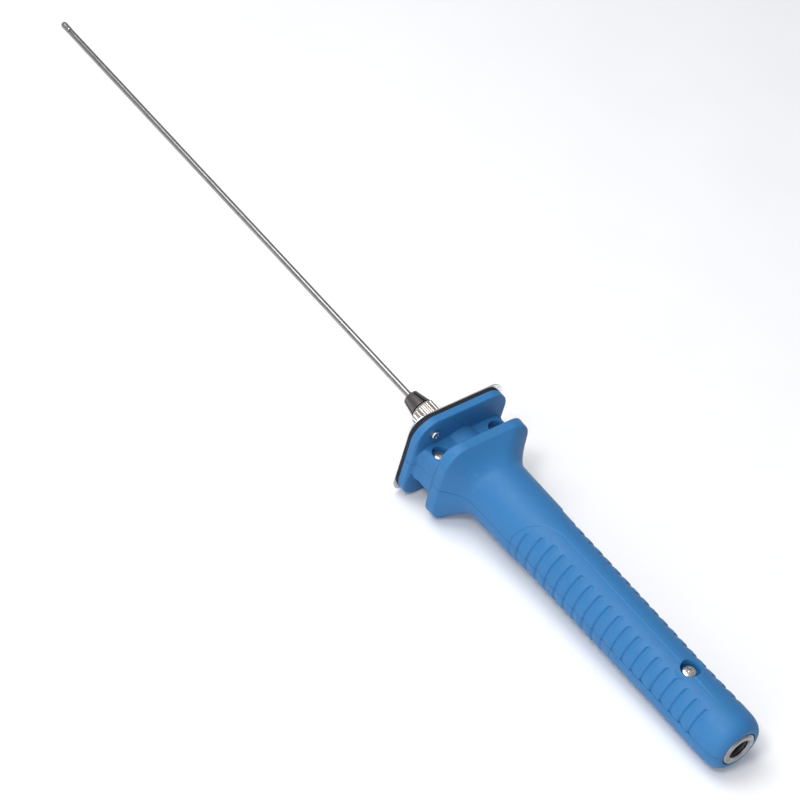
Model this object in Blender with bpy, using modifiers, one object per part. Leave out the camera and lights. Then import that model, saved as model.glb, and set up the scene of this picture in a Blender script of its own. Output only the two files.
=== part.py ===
"""Hot-needle foam cutter pen: a needle in a collet chuck, two finger guards and a two-part handle.

Metres, +Z up. The tool's axis runs along X and the needle points along +X. Every piece hangs from
the empty tool_axis, so stations along the axis are measured from a plane 0.9 mm in front of the heat
shield: positive towards the needle's tip, negative towards the power socket. The parting plane is
z = 0 of that empty. The world's origin is under the middle of the whole pen.
"""

import math

import bmesh
import bpy
from mathutils import Matrix, Vector

MM = 0.001
GAP = 0.3 * MM          # clearance between pieces that touch
SHARP_ANGLE = math.radians(35.0)
LYING = (0.0, math.pi / 2.0, 0.0)  # turns a piece's own Z onto the tool's axis

# Needle and chuck
NEEDLE_EXPOSED = 200.0 * MM
NEEDLE_RADIUS = 1.1 * MM
NEEDLE_BORE = 0.7 * MM
NEEDLE_REAR = -28.0 * MM
TIP_LENGTH = 4.5 * MM
HEATER_RADIUS = 0.35 * MM
COLLET_TIP = 18.3 * MM
COLLET_SHOULDER = 12.5 * MM
COLLET_TIP_RADIUS = 2.8 * MM
COLLET_SHOULDER_RADIUS = 4.0 * MM
COLLET_SHANK_RADIUS = 2.4 * MM
NUT_FRONT = COLLET_SHOULDER - GAP
NUT_REAR = 3.0 * MM
NUT_RADIUS = 5.0 * MM
NUT_FLUTES = 22
CHUCK_REAR = -19.6 * MM
CHUCK_RADIUS = 3.6 * MM

# Heat shield and gasket
SHIELD_FRONT = -0.9 * MM
SHIELD_THICKNESS = 0.4 * MM
GASKET_THICKNESS = 0.3 * MM
SHIELD_OVERHANG = 0.5 * MM
SHIELD_CORNER = 6.0 * MM
BUSH_RADIUS = 6.0 * MM
BUSH_FLANGE_RADIUS = 7.3 * MM

# Guards and neck: half width along Y and half height along Z
GUARD_FRONT = SHIELD_FRONT - SHIELD_THICKNESS - GASKET_THICKNESS - 2.0 * GAP
GUARD_HALF = (19.2 * MM, 17.0 * MM)
GUARD_CORNER = 8.0 * MM
GUARD_RIM_REAR = -5.0 * MM
NECK_FRONT = -6.4 * MM
NECK_REAR = -13.4 * MM
NECK_HALF = (16.6 * MM, 7.0 * MM)
NECK_CORNER = 1.6 * MM
NECK_BARREL = 8.4 * MM
REAR_GUARD_FRONT = -15.5 * MM
REAR_GUARD_REAR = -18.4 * MM
REAR_GUARD_HALF = (17.8 * MM, 16.6 * MM)
REAR_GUARD_CORNER = 7.0 * MM
FLARE_END = -27.5 * MM
FLARE_POWER = 1.7

# Handle
HANDLE_FRONT_RADIUS = 11.3 * MM
HANDLE_REAR_RADIUS = 10.3 * MM
HANDLE_ROUND_START = -141.0 * MM
HANDLE_END = -146.7 * MM
HANDLE_END_RADIUS = 7.3 * MM
HANDLE_FLAT = 0.5 * MM  # narrow flats at the top and side that keep the corner arcs apart
WALL = 2.0 * MM
GROOVE_FIRST = -51.0 * MM
GROOVE_LAST = -134.7 * MM
GROOVES = 19
GROOVE_WIDTH = 2.8 * MM
GROOVE_DEPTH = 0.5 * MM
GROOVE_TOP_ANGLE = math.radians(62.0)  # from the parting plane up to the groove's end

# Shell screws: place, then the recess over the head, the head, and the depth of the pilot hole
NECK_SCREW = (-10.0 * MM, 12.0 * MM)
NECK_SIZES = {"seat": 4.4 * MM, "recess": 3.0 * MM, "head": 2.1 * MM, "rise": 1.6 * MM,
              "end": -5.5 * MM, "pilot": -6.0 * MM}
REAR_SCREW = (-119.7 * MM, 0.0)
REAR_SIZES = {"seat": 7.2 * MM, "recess": 3.4 * MM, "head": 2.55 * MM, "rise": 1.9 * MM,
              "end": -7.0 * MM, "pilot": -8.0 * MM}
SHELL_SCREWS = {
    "left": (NECK_SCREW, NECK_SIZES),
    "right": ((NECK_SCREW[0], -NECK_SCREW[1]), NECK_SIZES),
    "rear": (REAR_SCREW, REAR_SIZES),
}
SHANK_RADIUS = 1.25 * MM
BOSS_RADIUS = 5.0 * MM

# Heat shield's screws
SHIELD_SCREW = (12.2 * MM, 11.5 * MM)
SHIELD_SCREW_SEAT = -5.2 * MM
SHIELD_HEAD_RADIUS = 1.4 * MM
SHIELD_SHANK_RADIUS = 0.9 * MM
SHIELD_SEAT_RADIUS = 1.9 * MM

# Power socket
BEZEL_RADIUS = 6.1 * MM
BEZEL_MOUTH = 3.7 * MM
BEZEL_FACE = HANDLE_END - 0.5 * MM
BEZEL_RECESS_RADIUS = 6.5 * MM
BARREL_RADIUS = 5.0 * MM
SOCKET_RADIUS = 3.2 * MM
SOCKET_PIN_RADIUS = 1.05 * MM
SOCKET_PIN_DEPTH = 4.8 * MM
HOUSING_FRONT = -131.5 * MM
FLANGE_RADIUS = 6.8 * MM

# Leads
LEAD_RADIUS = 0.6 * MM
LEAD_SIDE = 6.7 * MM

NEEDLE_TIP_X = COLLET_TIP + NEEDLE_EXPOSED
AXIS_HEIGHT = GUARD_HALF[1] + SHIELD_OVERHANG
AXIS_X = -(NEEDLE_TIP_X + BEZEL_FACE) / 2.0

COLOURS = {
    "blue_plastic": ((0.040, 0.205, 0.540), 0.42, 0.0),
    "polished_steel": ((0.72, 0.72, 0.72), 0.18, 1.0),
    "black_rubber": ((0.012, 0.012, 0.014), 0.7, 0.0),
    "nickel": ((0.70, 0.66, 0.60), 0.25, 1.0),
    "dark_steel": ((0.10, 0.095, 0.09), 0.35, 1.0),
    "needle_steel": ((0.62, 0.60, 0.58), 0.22, 1.0),
    "screw_steel": ((0.66, 0.65, 0.63), 0.28, 1.0),
    "brass": ((0.72, 0.50, 0.18), 0.3, 1.0),
    "ceramic": ((0.80, 0.77, 0.70), 0.6, 0.0),
    "black_plastic": ((0.02, 0.02, 0.022), 0.5, 0.0),
    "red_wire": ((0.55, 0.02, 0.02), 0.5, 0.0),
    "black_wire": ((0.03, 0.03, 0.03), 0.5, 0.0),
    "glass_sleeve": ((0.75, 0.72, 0.60), 0.8, 0.0),
}


def clear_scene():
    for old in list(bpy.data.objects):
        bpy.data.objects.remove(old, do_unlink=True)


def make_material(name):
    colour, roughness, metallic = COLOURS[name]
    material = bpy.data.materials.new(name)
    material.use_nodes = True
    shader = material.node_tree.nodes["Principled BSDF"]
    shader.inputs["Base Color"].default_value = (*colour, 1.0)
    shader.inputs["Roughness"].default_value = roughness
    shader.inputs["Metallic"].default_value = metallic
    return material


clear_scene()
PARTS = bpy.data.collections.new("foam_cutter_pen")
CUTTERS = bpy.data.collections.new("cutters")
bpy.context.scene.collection.children.link(PARTS)
bpy.context.scene.collection.children.link(CUTTERS)

AXIS = bpy.data.objects.new("tool_axis", None)
AXIS.location = (AXIS_X, 0.0, AXIS_HEIGHT)
PARTS.objects.link(AXIS)


def add(name, data, colour=None, location=(0.0, 0.0, 0.0), rotation=(0.0, 0.0, 0.0)):
    """Links a mesh or curve as a coloured part, or as a hidden cutter when it has no colour."""
    piece = bpy.data.objects.new(name, data)
    piece.parent = AXIS
    piece.location = location
    piece.rotation_euler = rotation
    if colour is None:
        CUTTERS.objects.link(piece)
        piece.hide_render = True
        piece.display_type = "WIRE"
    else:
        PARTS.objects.link(piece)
        data.materials.append(make_material(colour))
    return piece


def mesh_from_bmesh(name, bm):
    bmesh.ops.recalc_face_normals(bm, faces=bm.faces)
    mesh = bpy.data.meshes.new(name)
    bm.to_mesh(mesh)
    bm.free()
    return mesh


def boolean(piece, cutter, operation="DIFFERENCE"):
    modifier = piece.modifiers.new(cutter.name, "BOOLEAN")
    modifier.operation = operation
    modifier.solver = "EXACT"
    modifier.object = cutter


def turned(name, profile, colour=None, steps=32, ring=False, axis="X", centre=(0.0, 0.0)):
    """Turns a profile of (station, radius) points about an axis along X or Z through the centre.

    The profile runs down the outer side, from the highest station to the lowest. A ring's profile
    goes on up its bore and closes; any other starts and ends on the axis.
    """
    mesh = bpy.data.meshes.new(name)
    points = [(radius, 0.0, station) for station, radius in profile]
    edges = [(n, n + 1) for n in range(len(points) - 1)]
    if ring:
        edges.append((len(points) - 1, 0))
    mesh.from_pydata(points, edges, [])
    if axis == "X":
        piece = add(name, mesh, colour, (0.0, *centre), LYING)
    else:
        piece = add(name, mesh, colour, (*centre, 0.0))
    screw = piece.modifiers.new("turn", "SCREW")
    screw.axis = "Z"
    screw.steps = steps
    screw.render_steps = steps
    screw.use_merge_vertices = True
    screw.merge_threshold = 0.00001
    screw.use_smooth_shade = True
    return piece


def cylinder(name, radius, start, end, axis="Z", centre=(0.0, 0.0), colour=None, segments=24):
    """A solid cylinder along X or Z between two heights on that axis."""
    bm = bmesh.new()
    bmesh.ops.create_cone(
        bm, cap_ends=True, segments=segments, radius1=radius, radius2=radius, depth=end - start
    )
    mesh = mesh_from_bmesh(name, bm)
    mesh.shade_smooth()
    mesh.set_sharp_from_angle(angle=SHARP_ANGLE)
    middle = (start + end) / 2.0
    if axis == "Z":
        return add(name, mesh, colour, (*centre, middle))
    return add(name, mesh, colour, (middle, *centre), LYING)


def box(name, low, high, colour=None):
    bm = bmesh.new()
    bmesh.ops.create_cube(bm, size=1.0)
    size = [high[n] - low[n] for n in range(3)]
    middle = [(high[n] + low[n]) / 2.0 for n in range(3)]
    bmesh.ops.scale(bm, vec=size, verts=bm.verts)
    return add(name, mesh_from_bmesh(name, bm), colour, location=middle)


def loft(name, rings, colour=None):
    """Joins closed rings with the same number of points and caps both ends."""
    bm = bmesh.new()
    rows = [[bm.verts.new(point) for point in ring] for ring in rings]
    count = len(rows[0])
    for before, after in zip(rows, rows[1:]):
        for n in range(count):
            bm.faces.new((before[n], before[(n + 1) % count], after[(n + 1) % count], after[n]))
    bm.faces.new(rows[0])
    bm.faces.new(list(reversed(rows[-1])))
    return add(name, mesh_from_bmesh(name, bm), colour)


def flat_outline(name, loops, thickness, station, colour):
    """A flat plate across the axis with one spline per (points) loop; inner loops are holes."""
    curve = bpy.data.curves.new(name, "CURVE")
    curve.dimensions = "2D"
    curve.fill_mode = "BOTH"
    curve.extrude = thickness / 2.0
    curve.resolution_u = 1
    for loop in loops:
        spline = curve.splines.new("POLY")
        spline.points.add(len(loop) - 1)
        spline.use_cyclic_u = True
        for point, (y, z) in zip(spline.points, loop):
            point.co = (y, z, 0.0, 1.0)
    upright = Matrix(((0, 0, 1), (1, 0, 0), (0, 1, 0))).to_euler()
    return add(name, curve, colour, location=(station, 0.0, 0.0), rotation=upright)


def rounded_loop(half_y, half_z, corner, segments=6):
    points = []
    for turn in range(4):
        sign_y = 1.0 if turn in (0, 3) else -1.0
        sign_z = 1.0 if turn in (0, 1) else -1.0
        for n in range(segments + 1):
            angle = math.pi / 2.0 * (turn + n / segments)
            y = sign_y * (half_y - corner) + corner * math.cos(angle)
            z = sign_z * (half_z - corner) + corner * math.sin(angle)
            points.append((y, z))
    return points


def circle_loop(radius, centre=(0.0, 0.0), segments=24):
    turns = [2.0 * math.pi * n / segments for n in range(segments)]
    return [(centre[0] + radius * math.cos(a), centre[1] + radius * math.sin(a)) for a in turns]


def lerp(start, end, t):
    return start + (end - start) * t


# Handle shells ------------------------------------------------------------------------------

def handle_radius(x):
    t = (FLARE_END - x) / (FLARE_END - HANDLE_ROUND_START)
    return lerp(HANDLE_FRONT_RADIUS, HANDLE_REAR_RADIUS, min(max(t, 0.0), 1.0))


def shell_sections():
    """Stations along the shell: (x, half width, half height, corner radius)."""
    sections = [
        (GUARD_FRONT, *GUARD_HALF, GUARD_CORNER),
        (GUARD_RIM_REAR, *GUARD_HALF, GUARD_CORNER),
        (NECK_FRONT, *NECK_HALF, NECK_CORNER),
        (NECK_REAR, *NECK_HALF, NECK_CORNER),
        (REAR_GUARD_FRONT, *REAR_GUARD_HALF, REAR_GUARD_CORNER),
        (REAR_GUARD_REAR, *REAR_GUARD_HALF, REAR_GUARD_CORNER),
    ]
    flare_steps = 7
    for n in range(1, flare_steps + 1):
        t = n / flare_steps
        keep = (1.0 - t) ** FLARE_POWER
        radius = handle_radius(FLARE_END)
        half_y = lerp(radius, REAR_GUARD_HALF[0], keep)
        half_z = lerp(radius, REAR_GUARD_HALF[1], keep)
        corner = lerp(radius - HANDLE_FLAT, REAR_GUARD_CORNER, keep)
        sections.append((lerp(REAR_GUARD_REAR, FLARE_END, t), half_y, half_z, corner))
    pitch = (GROOVE_FIRST - GROOVE_LAST) / (GROOVES - 1)
    for n in range(GROOVES):
        for step in (0.5, 0.0, -0.5):
            x = GROOVE_FIRST - pitch * n + step * GROOVE_WIDTH
            radius = handle_radius(x)
            sections.append((x, radius, radius, radius - HANDLE_FLAT))
    round_steps = 5
    for n in range(round_steps + 1):
        angle = math.pi / 2.0 * n / round_steps
        x = lerp(HANDLE_ROUND_START, HANDLE_END, math.sin(angle))
        radius = lerp(HANDLE_END_RADIUS, HANDLE_REAR_RADIUS, math.cos(angle))
        sections.append((x, radius, radius, radius - HANDLE_FLAT))
    return sections


def groove_depth(x, angle):
    """Depth of the grip grooves at a station and at an angle above the parting plane."""
    pitch = (GROOVE_FIRST - GROOVE_LAST) / (GROOVES - 1)
    nearest = GROOVE_FIRST - pitch * min(max(round((GROOVE_FIRST - x) / pitch), 0), GROOVES - 1)
    if abs(x - nearest) > GROOVE_WIDTH / 4.0 or angle > GROOVE_TOP_ANGLE:
        return 0.0
    return GROOVE_DEPTH


def half_ring(x, half_y, half_z, corner, side):
    """One half of a section, from the parting plane on +Y over the top to the plane on -Y."""
    corner_steps = 6
    quarter = [(half_y, GAP / 2.0)]
    for n in range(corner_steps + 1):
        angle = math.pi / 2.0 * n / corner_steps
        y = half_y - corner + corner * math.cos(angle)
        z = half_z - corner + corner * math.sin(angle)
        radial = math.hypot(y, z)
        depth = groove_depth(x, math.atan2(z, y))
        quarter.append((y * (1.0 - depth / radial), max(z * (1.0 - depth / radial), GAP)))
    first_depth = groove_depth(x, 0.0)
    quarter[0] = (half_y - first_depth, GAP / 2.0)
    mirrored = [(-y, z) for y, z in reversed(quarter)]
    return [(x, y, side * z) for y, z in quarter + mirrored]


def shell_cavity():
    """The hollow of both halves, turned about the axis, open towards the bush and the socket."""
    bush_bore = BUSH_RADIUS + GAP
    rear_wall = BEZEL_FACE + 4.1 * MM
    profile = [
        (GUARD_FRONT + 2.0 * MM, 0.0),
        (GUARD_FRONT + 2.0 * MM, bush_bore),
        (-4.2 * MM, bush_bore),
        (-4.2 * MM, 7.7 * MM),
        (-7.3 * MM, 7.7 * MM),
        (-7.3 * MM, 5.2 * MM),
        (-14.2 * MM, 5.2 * MM),
        (-14.2 * MM, 8.0 * MM),
        (-22.0 * MM, 8.6 * MM),
        (FLARE_END, HANDLE_FRONT_RADIUS - WALL),
        (HANDLE_ROUND_START, HANDLE_REAR_RADIUS - WALL),
        (rear_wall, 7.4 * MM),
        (rear_wall, BARREL_RADIUS + GAP),
        (BEZEL_FACE + 1.9 * MM, BARREL_RADIUS + GAP),
        (BEZEL_FACE + 1.9 * MM, BEZEL_RECESS_RADIUS),
        (BEZEL_FACE - 2.0 * MM, BEZEL_RECESS_RADIUS),
        (BEZEL_FACE - 2.0 * MM, 0.0),
    ]
    return turned("shell_cavity", profile, steps=32)


def cut_screw_room(shell, side):
    """Recess and clearance hole over each screw in the upper half, and a pilot hole in the lower."""
    bore = SHANK_RADIUS + GAP
    for label, (centre, size) in SHELL_SCREWS.items():
        if side > 0:
            reach = 20.0 * MM
            boolean(shell, cylinder("recess_" + label, size["recess"], size["seat"], reach, centre=centre))
            hole = cylinder("clear_" + label, bore, -1.0 * MM, reach, centre=centre, segments=16)
        else:
            hole = cylinder("pilot_" + label, bore, size["pilot"], 1.0 * MM, centre=centre, segments=16)
        boolean(shell, hole)


def cut_shield_screw_room(shell, name, side):
    centre = (side * SHIELD_SCREW[0], side * SHIELD_SCREW[1])
    bore = SHIELD_SHANK_RADIUS + GAP
    boolean(shell, cylinder(name + "_pin", bore, -20.0 * MM, 1.0 * MM, "X", centre, segments=12))
    start = NECK_REAR + 1.0 * MM
    seat = cylinder(name + "_seat", SHIELD_SEAT_RADIUS, start, SHIELD_SCREW_SEAT, "X", centre, segments=16)
    boolean(shell, seat)


def make_shells():
    cavity = shell_cavity()
    boss_top = HANDLE_REAR_RADIUS - 1.0 * MM
    for name, side in (("upper_shell", 1.0), ("lower_shell", -1.0)):
        rings = [half_ring(*section, side) for section in shell_sections()]
        shell = loft(name, rings, "blue_plastic")
        barrel = cylinder(
            name + "_barrel", NECK_BARREL, NECK_REAR - 1.0 * MM, NECK_FRONT + 1.0 * MM, "X", segments=32
        )
        low, high = sorted((side * GAP / 2.0, side * 50.0 * MM))
        boolean(barrel, box(name + "_side", (-0.2, -0.05, low), (0.05, 0.05, high)), "INTERSECT")
        boolean(shell, barrel, "UNION")
        boolean(shell, cavity)
        low, high = sorted((side * GAP / 2.0, side * boss_top))
        boolean(shell, cylinder(name + "_boss", BOSS_RADIUS, low, high, centre=REAR_SCREW), "UNION")
        cut_screw_room(shell, side)
        cut_shield_screw_room(shell, name, side)


# Front end ----------------------------------------------------------------------------------

def make_shield():
    bore = SHIELD_SHANK_RADIUS + GAP
    holes = [circle_loop(BUSH_RADIUS + GAP, segments=32)]
    for side in (1.0, -1.0):
        holes.append(circle_loop(bore, (side * SHIELD_SCREW[0], side * SHIELD_SCREW[1]), 12))
    plate = rounded_loop(GUARD_HALF[0] + SHIELD_OVERHANG, GUARD_HALF[1] + SHIELD_OVERHANG, SHIELD_CORNER)
    middle = SHIELD_FRONT - SHIELD_THICKNESS / 2.0
    flat_outline("heat_shield", [plate, *holes], SHIELD_THICKNESS, middle, "polished_steel")
    soft = rounded_loop(*GUARD_HALF, GUARD_CORNER)
    middle = GUARD_FRONT + GAP + GASKET_THICKNESS / 2.0
    flat_outline("shield_gasket", [soft, *holes], GASKET_THICKNESS, middle, "black_rubber")


def make_shield_screws():
    for name, side in (("shield_screw_upper", 1.0), ("shield_screw_lower", -1.0)):
        head_front = SHIELD_SCREW_SEAT - GAP
        head_rear = head_front - 1.1 * MM
        tip = SHIELD_FRONT - 0.1 * MM
        profile = [
            (tip, 0.0),
            (tip, SHIELD_SHANK_RADIUS),
            (head_front, SHIELD_SHANK_RADIUS),
            (head_front, SHIELD_HEAD_RADIUS),
            (head_rear + 0.4 * MM, SHIELD_HEAD_RADIUS),
            (head_rear, 1.0 * MM),
            (head_rear, 0.0),
        ]
        centre = (side * SHIELD_SCREW[0], side * SHIELD_SCREW[1])
        screw = turned(name, profile, "screw_steel", steps=16, centre=centre)
        cross_recess(screw, name, (head_rear, *centre), 0.35 * MM, 1.5 * MM, "X")


def cross_recess(screw, name, top, width, length, axis):
    """Cuts a cross into a screw's head, centred on the point on top of it."""
    depth = 0.8 * MM
    for n in range(2):
        spans = [length, width] if n else [width, length]
        size = (2.0 * depth, *spans) if axis == "X" else (*spans, 2.0 * depth)
        low = [top[k] - size[k] / 2.0 for k in range(3)]
        high = [top[k] + size[k] / 2.0 for k in range(3)]
        boolean(screw, box(f"{name}_cross_{n}", low, high))


def make_bush():
    profile = [
        (0.5 * MM, BUSH_RADIUS),
        (-4.6 * MM, BUSH_RADIUS),
        (-4.6 * MM, BUSH_FLANGE_RADIUS),
        (-6.9 * MM, BUSH_FLANGE_RADIUS),
        (-6.9 * MM, CHUCK_RADIUS + GAP),
        (0.5 * MM, CHUCK_RADIUS + GAP),
    ]
    turned("insulator_bush", profile, "ceramic", ring=True)


def make_chuck():
    bore = NEEDLE_RADIUS + GAP
    seat = 2.7 * MM
    nose = 3.1 * MM
    profile = [
        (8.8 * MM, nose),
        (2.2 * MM, nose),
        (2.2 * MM, 4.3 * MM),
        (0.8 * MM, 4.3 * MM),
        (0.8 * MM, CHUCK_RADIUS),
        (CHUCK_REAR, CHUCK_RADIUS),
        (CHUCK_REAR, bore),
        (3.0 * MM, bore),
        (3.0 * MM, seat),
        (8.8 * MM, seat),
    ]
    turned("chuck_body", profile, "brass", ring=True)


def make_nut():
    nose_bore = 3.1 * MM + GAP
    collet_bore = COLLET_SHANK_RADIUS + GAP
    profile = [
        (NUT_FRONT, NUT_RADIUS - 1.0 * MM),
        (NUT_FRONT - 1.1 * MM, NUT_RADIUS),
        (NUT_REAR + 0.3 * MM, NUT_RADIUS),
        (NUT_REAR, NUT_RADIUS - 0.3 * MM),
        (NUT_REAR, nose_bore),
        (10.6 * MM, nose_bore),
        (11.2 * MM, collet_bore),
        (NUT_FRONT, collet_bore),
    ]
    nut = turned("chuck_nut", profile, "nickel", steps=44, ring=True)
    bm = bmesh.new()
    for n in range(NUT_FLUTES):
        angle = 2.0 * math.pi * n / NUT_FLUTES
        place = Matrix.Translation((7.5 * MM, NUT_RADIUS * math.cos(angle), NUT_RADIUS * math.sin(angle)))
        tilt = Matrix.Rotation(math.pi / 2.0, 4, "Y")
        bmesh.ops.create_cone(bm, cap_ends=True, segments=6, radius1=0.3 * MM, radius2=0.3 * MM,
                              depth=14.0 * MM, matrix=place @ tilt)
    boolean(nut, add("nut_flutes", mesh_from_bmesh("nut_flutes", bm)))


def make_collet():
    bore = NEEDLE_RADIUS + GAP
    profile = [
        (COLLET_TIP, COLLET_TIP_RADIUS),
        (COLLET_SHOULDER, COLLET_SHOULDER_RADIUS),
        (COLLET_SHOULDER, COLLET_SHANK_RADIUS),
        (3.6 * MM, COLLET_SHANK_RADIUS),
        (3.6 * MM, bore),
        (COLLET_TIP, bore),
    ]
    collet = turned("collet", profile, "dark_steel", ring=True)
    slot = 0.25 * MM
    boolean(collet, box("collet_slot_y", (7.0 * MM, -0.01, -slot), (0.03, 0.01, slot)))
    boolean(collet, box("collet_slot_z", (7.0 * MM, -slot, -0.01), (0.03, slot, 0.01)))


def make_needle():
    plug = NEEDLE_TIP_X - TIP_LENGTH
    profile = [
        (plug, NEEDLE_RADIUS),
        (NEEDLE_REAR, NEEDLE_RADIUS),
        (NEEDLE_REAR, NEEDLE_BORE),
        (plug, NEEDLE_BORE),
    ]
    turned("needle_tube", profile, "needle_steel", steps=20, ring=True)
    profile = [
        (NEEDLE_TIP_X, 0.0),
        (NEEDLE_TIP_X, 1.0 * MM),
        (NEEDLE_TIP_X - 0.4 * MM, 1.25 * MM),
        (plug + GAP, 1.25 * MM),
        (plug + GAP, 0.0),
    ]
    turned("needle_tip", profile, "needle_steel", steps=20)
    cylinder("heater_wire", HEATER_RADIUS, NEEDLE_REAR + 0.1 * MM, plug, axis="X", colour="glass_sleeve",
             segments=10)
    bead_front, bead_rear = NEEDLE_REAR - GAP, NEEDLE_REAR - 4.3 * MM
    profile = [
        (bead_front, 0.0),
        (bead_front, NEEDLE_RADIUS - 0.2 * MM),
        (bead_front - 0.4 * MM, NEEDLE_RADIUS),
        (bead_rear + 0.4 * MM, NEEDLE_RADIUS),
        (bead_rear, NEEDLE_RADIUS - 0.2 * MM),
        (bead_rear, 0.0),
    ]
    turned("needle_bead", profile, "ceramic", steps=20)
    pin_front, pin_rear = bead_rear - GAP, bead_rear - 8.0 * MM
    profile = [
        (pin_front, 0.0),
        (pin_front, 0.8 * MM),
        (pin_rear + 0.5 * MM, 0.8 * MM),
        (pin_rear, 0.3 * MM),
        (pin_rear, 0.0),
    ]
    turned("needle_contact", profile, "brass", steps=16)


def make_contact_socket():
    """The brass socket of the needle's rear contact, and the block that holds it."""
    mouth, rear, tail = -34.5 * MM, -43.0 * MM, -46.5 * MM
    outer, bore = 1.9 * MM, 1.1 * MM
    profile = [
        (-41.5 * MM, 0.0),
        (-41.5 * MM, bore),
        (mouth, bore),
        (mouth, outer),
        (rear, outer),
        (rear, 0.7 * MM),
        (tail, 0.7 * MM),
        (tail, 0.0),
    ]
    turned("contact_socket", profile, "brass", steps=20)
    holder = box("socket_holder", (-42.0 * MM, -8.1 * MM, -3.4 * MM), (-36.0 * MM, 8.1 * MM, 3.4 * MM),
                 "black_plastic")
    boolean(holder, cylinder("holder_bore", outer + GAP, -0.05, -0.03, axis="X", segments=20))
    for name, side in (("a", 1.0), ("b", -1.0)):
        slot = box(f"holder_slot_{name}", (-0.05, side * 6.4 * MM - 1.2 * MM, -1.2 * MM),
                   (-0.03, side * 6.4 * MM + 1.2 * MM, 1.2 * MM))
        boolean(holder, slot)


def make_lock_nut():
    bore = CHUCK_RADIUS + GAP
    nut = cylinder("chuck_lock_nut", 6.2 * MM, -18.4 * MM, -15.8 * MM, "X", colour="nickel", segments=6)
    boolean(nut, cylinder("lock_nut_bore", bore, -30.0 * MM, 0.0, "X"))
    tab_half, tab_end = 1.2 * MM, 7.6 * MM
    round_part = [(y, z) for y, z in circle_loop(5.4 * MM) if y > 0.0 or abs(z) >= tab_half]
    above = [point for point in round_part if point[1] >= 0.0]
    below = [point for point in round_part if point[1] < 0.0]
    loop = [*above, (-tab_end, tab_half), (-tab_end, -tab_half), *below]
    flat_outline("chuck_terminal", [loop, circle_loop(bore)], 0.5 * MM, -15.2 * MM, "nickel")


# Rear end -----------------------------------------------------------------------------------

def make_socket():
    barrel_end = BEZEL_FACE + 1.0 * MM
    lip = BEZEL_FACE + 0.7 * MM
    profile = [
        (BEZEL_FACE + 1.6 * MM, BEZEL_RADIUS),
        (BEZEL_FACE + 0.4 * MM, BEZEL_RADIUS),
        (BEZEL_FACE, BEZEL_RADIUS - 0.4 * MM),
        (BEZEL_FACE, BEZEL_MOUTH + 0.3 * MM),
        (BEZEL_FACE + 0.3 * MM, BEZEL_MOUTH),
        (lip, BEZEL_MOUTH),
        (lip, BARREL_RADIUS + GAP),
        (BEZEL_FACE + 1.6 * MM, BARREL_RADIUS + GAP),
    ]
    turned("jack_bezel", profile, "nickel", steps=40, ring=True)
    inside = HOUSING_FRONT - 2.0 * MM
    flange_rear = BEZEL_FACE + 4.4 * MM
    profile = [
        (HOUSING_FRONT, 0.0),
        (HOUSING_FRONT, BARREL_RADIUS),
        (flange_rear + 1.6 * MM, BARREL_RADIUS),
        (flange_rear + 1.6 * MM, FLANGE_RADIUS),
        (flange_rear, FLANGE_RADIUS),
        (flange_rear, BARREL_RADIUS),
        (barrel_end, BARREL_RADIUS),
        (barrel_end, SOCKET_RADIUS),
        (inside, SOCKET_RADIUS),
        (inside, 0.0),
    ]
    housing = turned("jack_housing", profile, "black_plastic", steps=24)
    pin_hole = cylinder("pin_hole", SOCKET_PIN_RADIUS + GAP, inside - 0.001, 0.0, axis="X", segments=16)
    boolean(housing, pin_hole)
    pin_tip = BEZEL_FACE + SOCKET_PIN_DEPTH
    profile = [
        (HOUSING_FRONT + 3.0 * MM, 0.0),
        (HOUSING_FRONT + 3.0 * MM, 0.6 * MM),
        (HOUSING_FRONT + 1.0 * MM, 0.6 * MM),
        (HOUSING_FRONT + 1.0 * MM, SOCKET_PIN_RADIUS),
        (pin_tip + 0.4 * MM, SOCKET_PIN_RADIUS),
        (pin_tip, 0.6 * MM),
        (pin_tip, 0.0),
    ]
    turned("jack_centre_pin", profile, "nickel", steps=16)
    leaf_low = (BEZEL_FACE + 4.8 * MM, -0.8 * MM, -4.0 * MM)
    leaf_high = (HOUSING_FRONT + 2.7 * MM, 0.8 * MM, -3.6 * MM)
    box("jack_leaf_contact", leaf_low, leaf_high, "brass")
    slot_low = (leaf_low[0] - GAP, leaf_low[1] - GAP, leaf_low[2] - GAP)
    slot_high = (0.0, leaf_high[1] + GAP, -2.6 * MM)
    boolean(housing, box("leaf_slot", slot_low, slot_high))


def smooth_route(points, count):
    """Catmull-Rom curve through the points, read at equal steps of its parameter."""
    padded = [points[0], *points, points[-1]]
    pieces = len(points) - 1
    route = []
    for n in range(count + 1):
        place = min(n / count * pieces, pieces - 1e-9)
        k = int(place)
        t = place - k
        a, b, c, d = (Vector(padded[k + m]) for m in range(4))
        route.append(0.5 * (2.0 * b + (c - a) * t + (2.0 * a - 5.0 * b + 4.0 * c - d) * t * t
                            + (3.0 * b - a - 3.0 * c + d) * t * t * t))
    return route


def lead(name, points, colour, count):
    curve = bpy.data.curves.new(name, "CURVE")
    curve.dimensions = "3D"
    curve.bevel_depth = LEAD_RADIUS
    curve.bevel_resolution = 2
    curve.use_fill_caps = True
    curve.resolution_u = 1
    route = smooth_route(points, count)
    spline = curve.splines.new("POLY")
    spline.points.add(len(route) - 1)
    for point, place in zip(spline.points, route):
        point.co = (*place, 1.0)
    return add(name, curve, colour)


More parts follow.
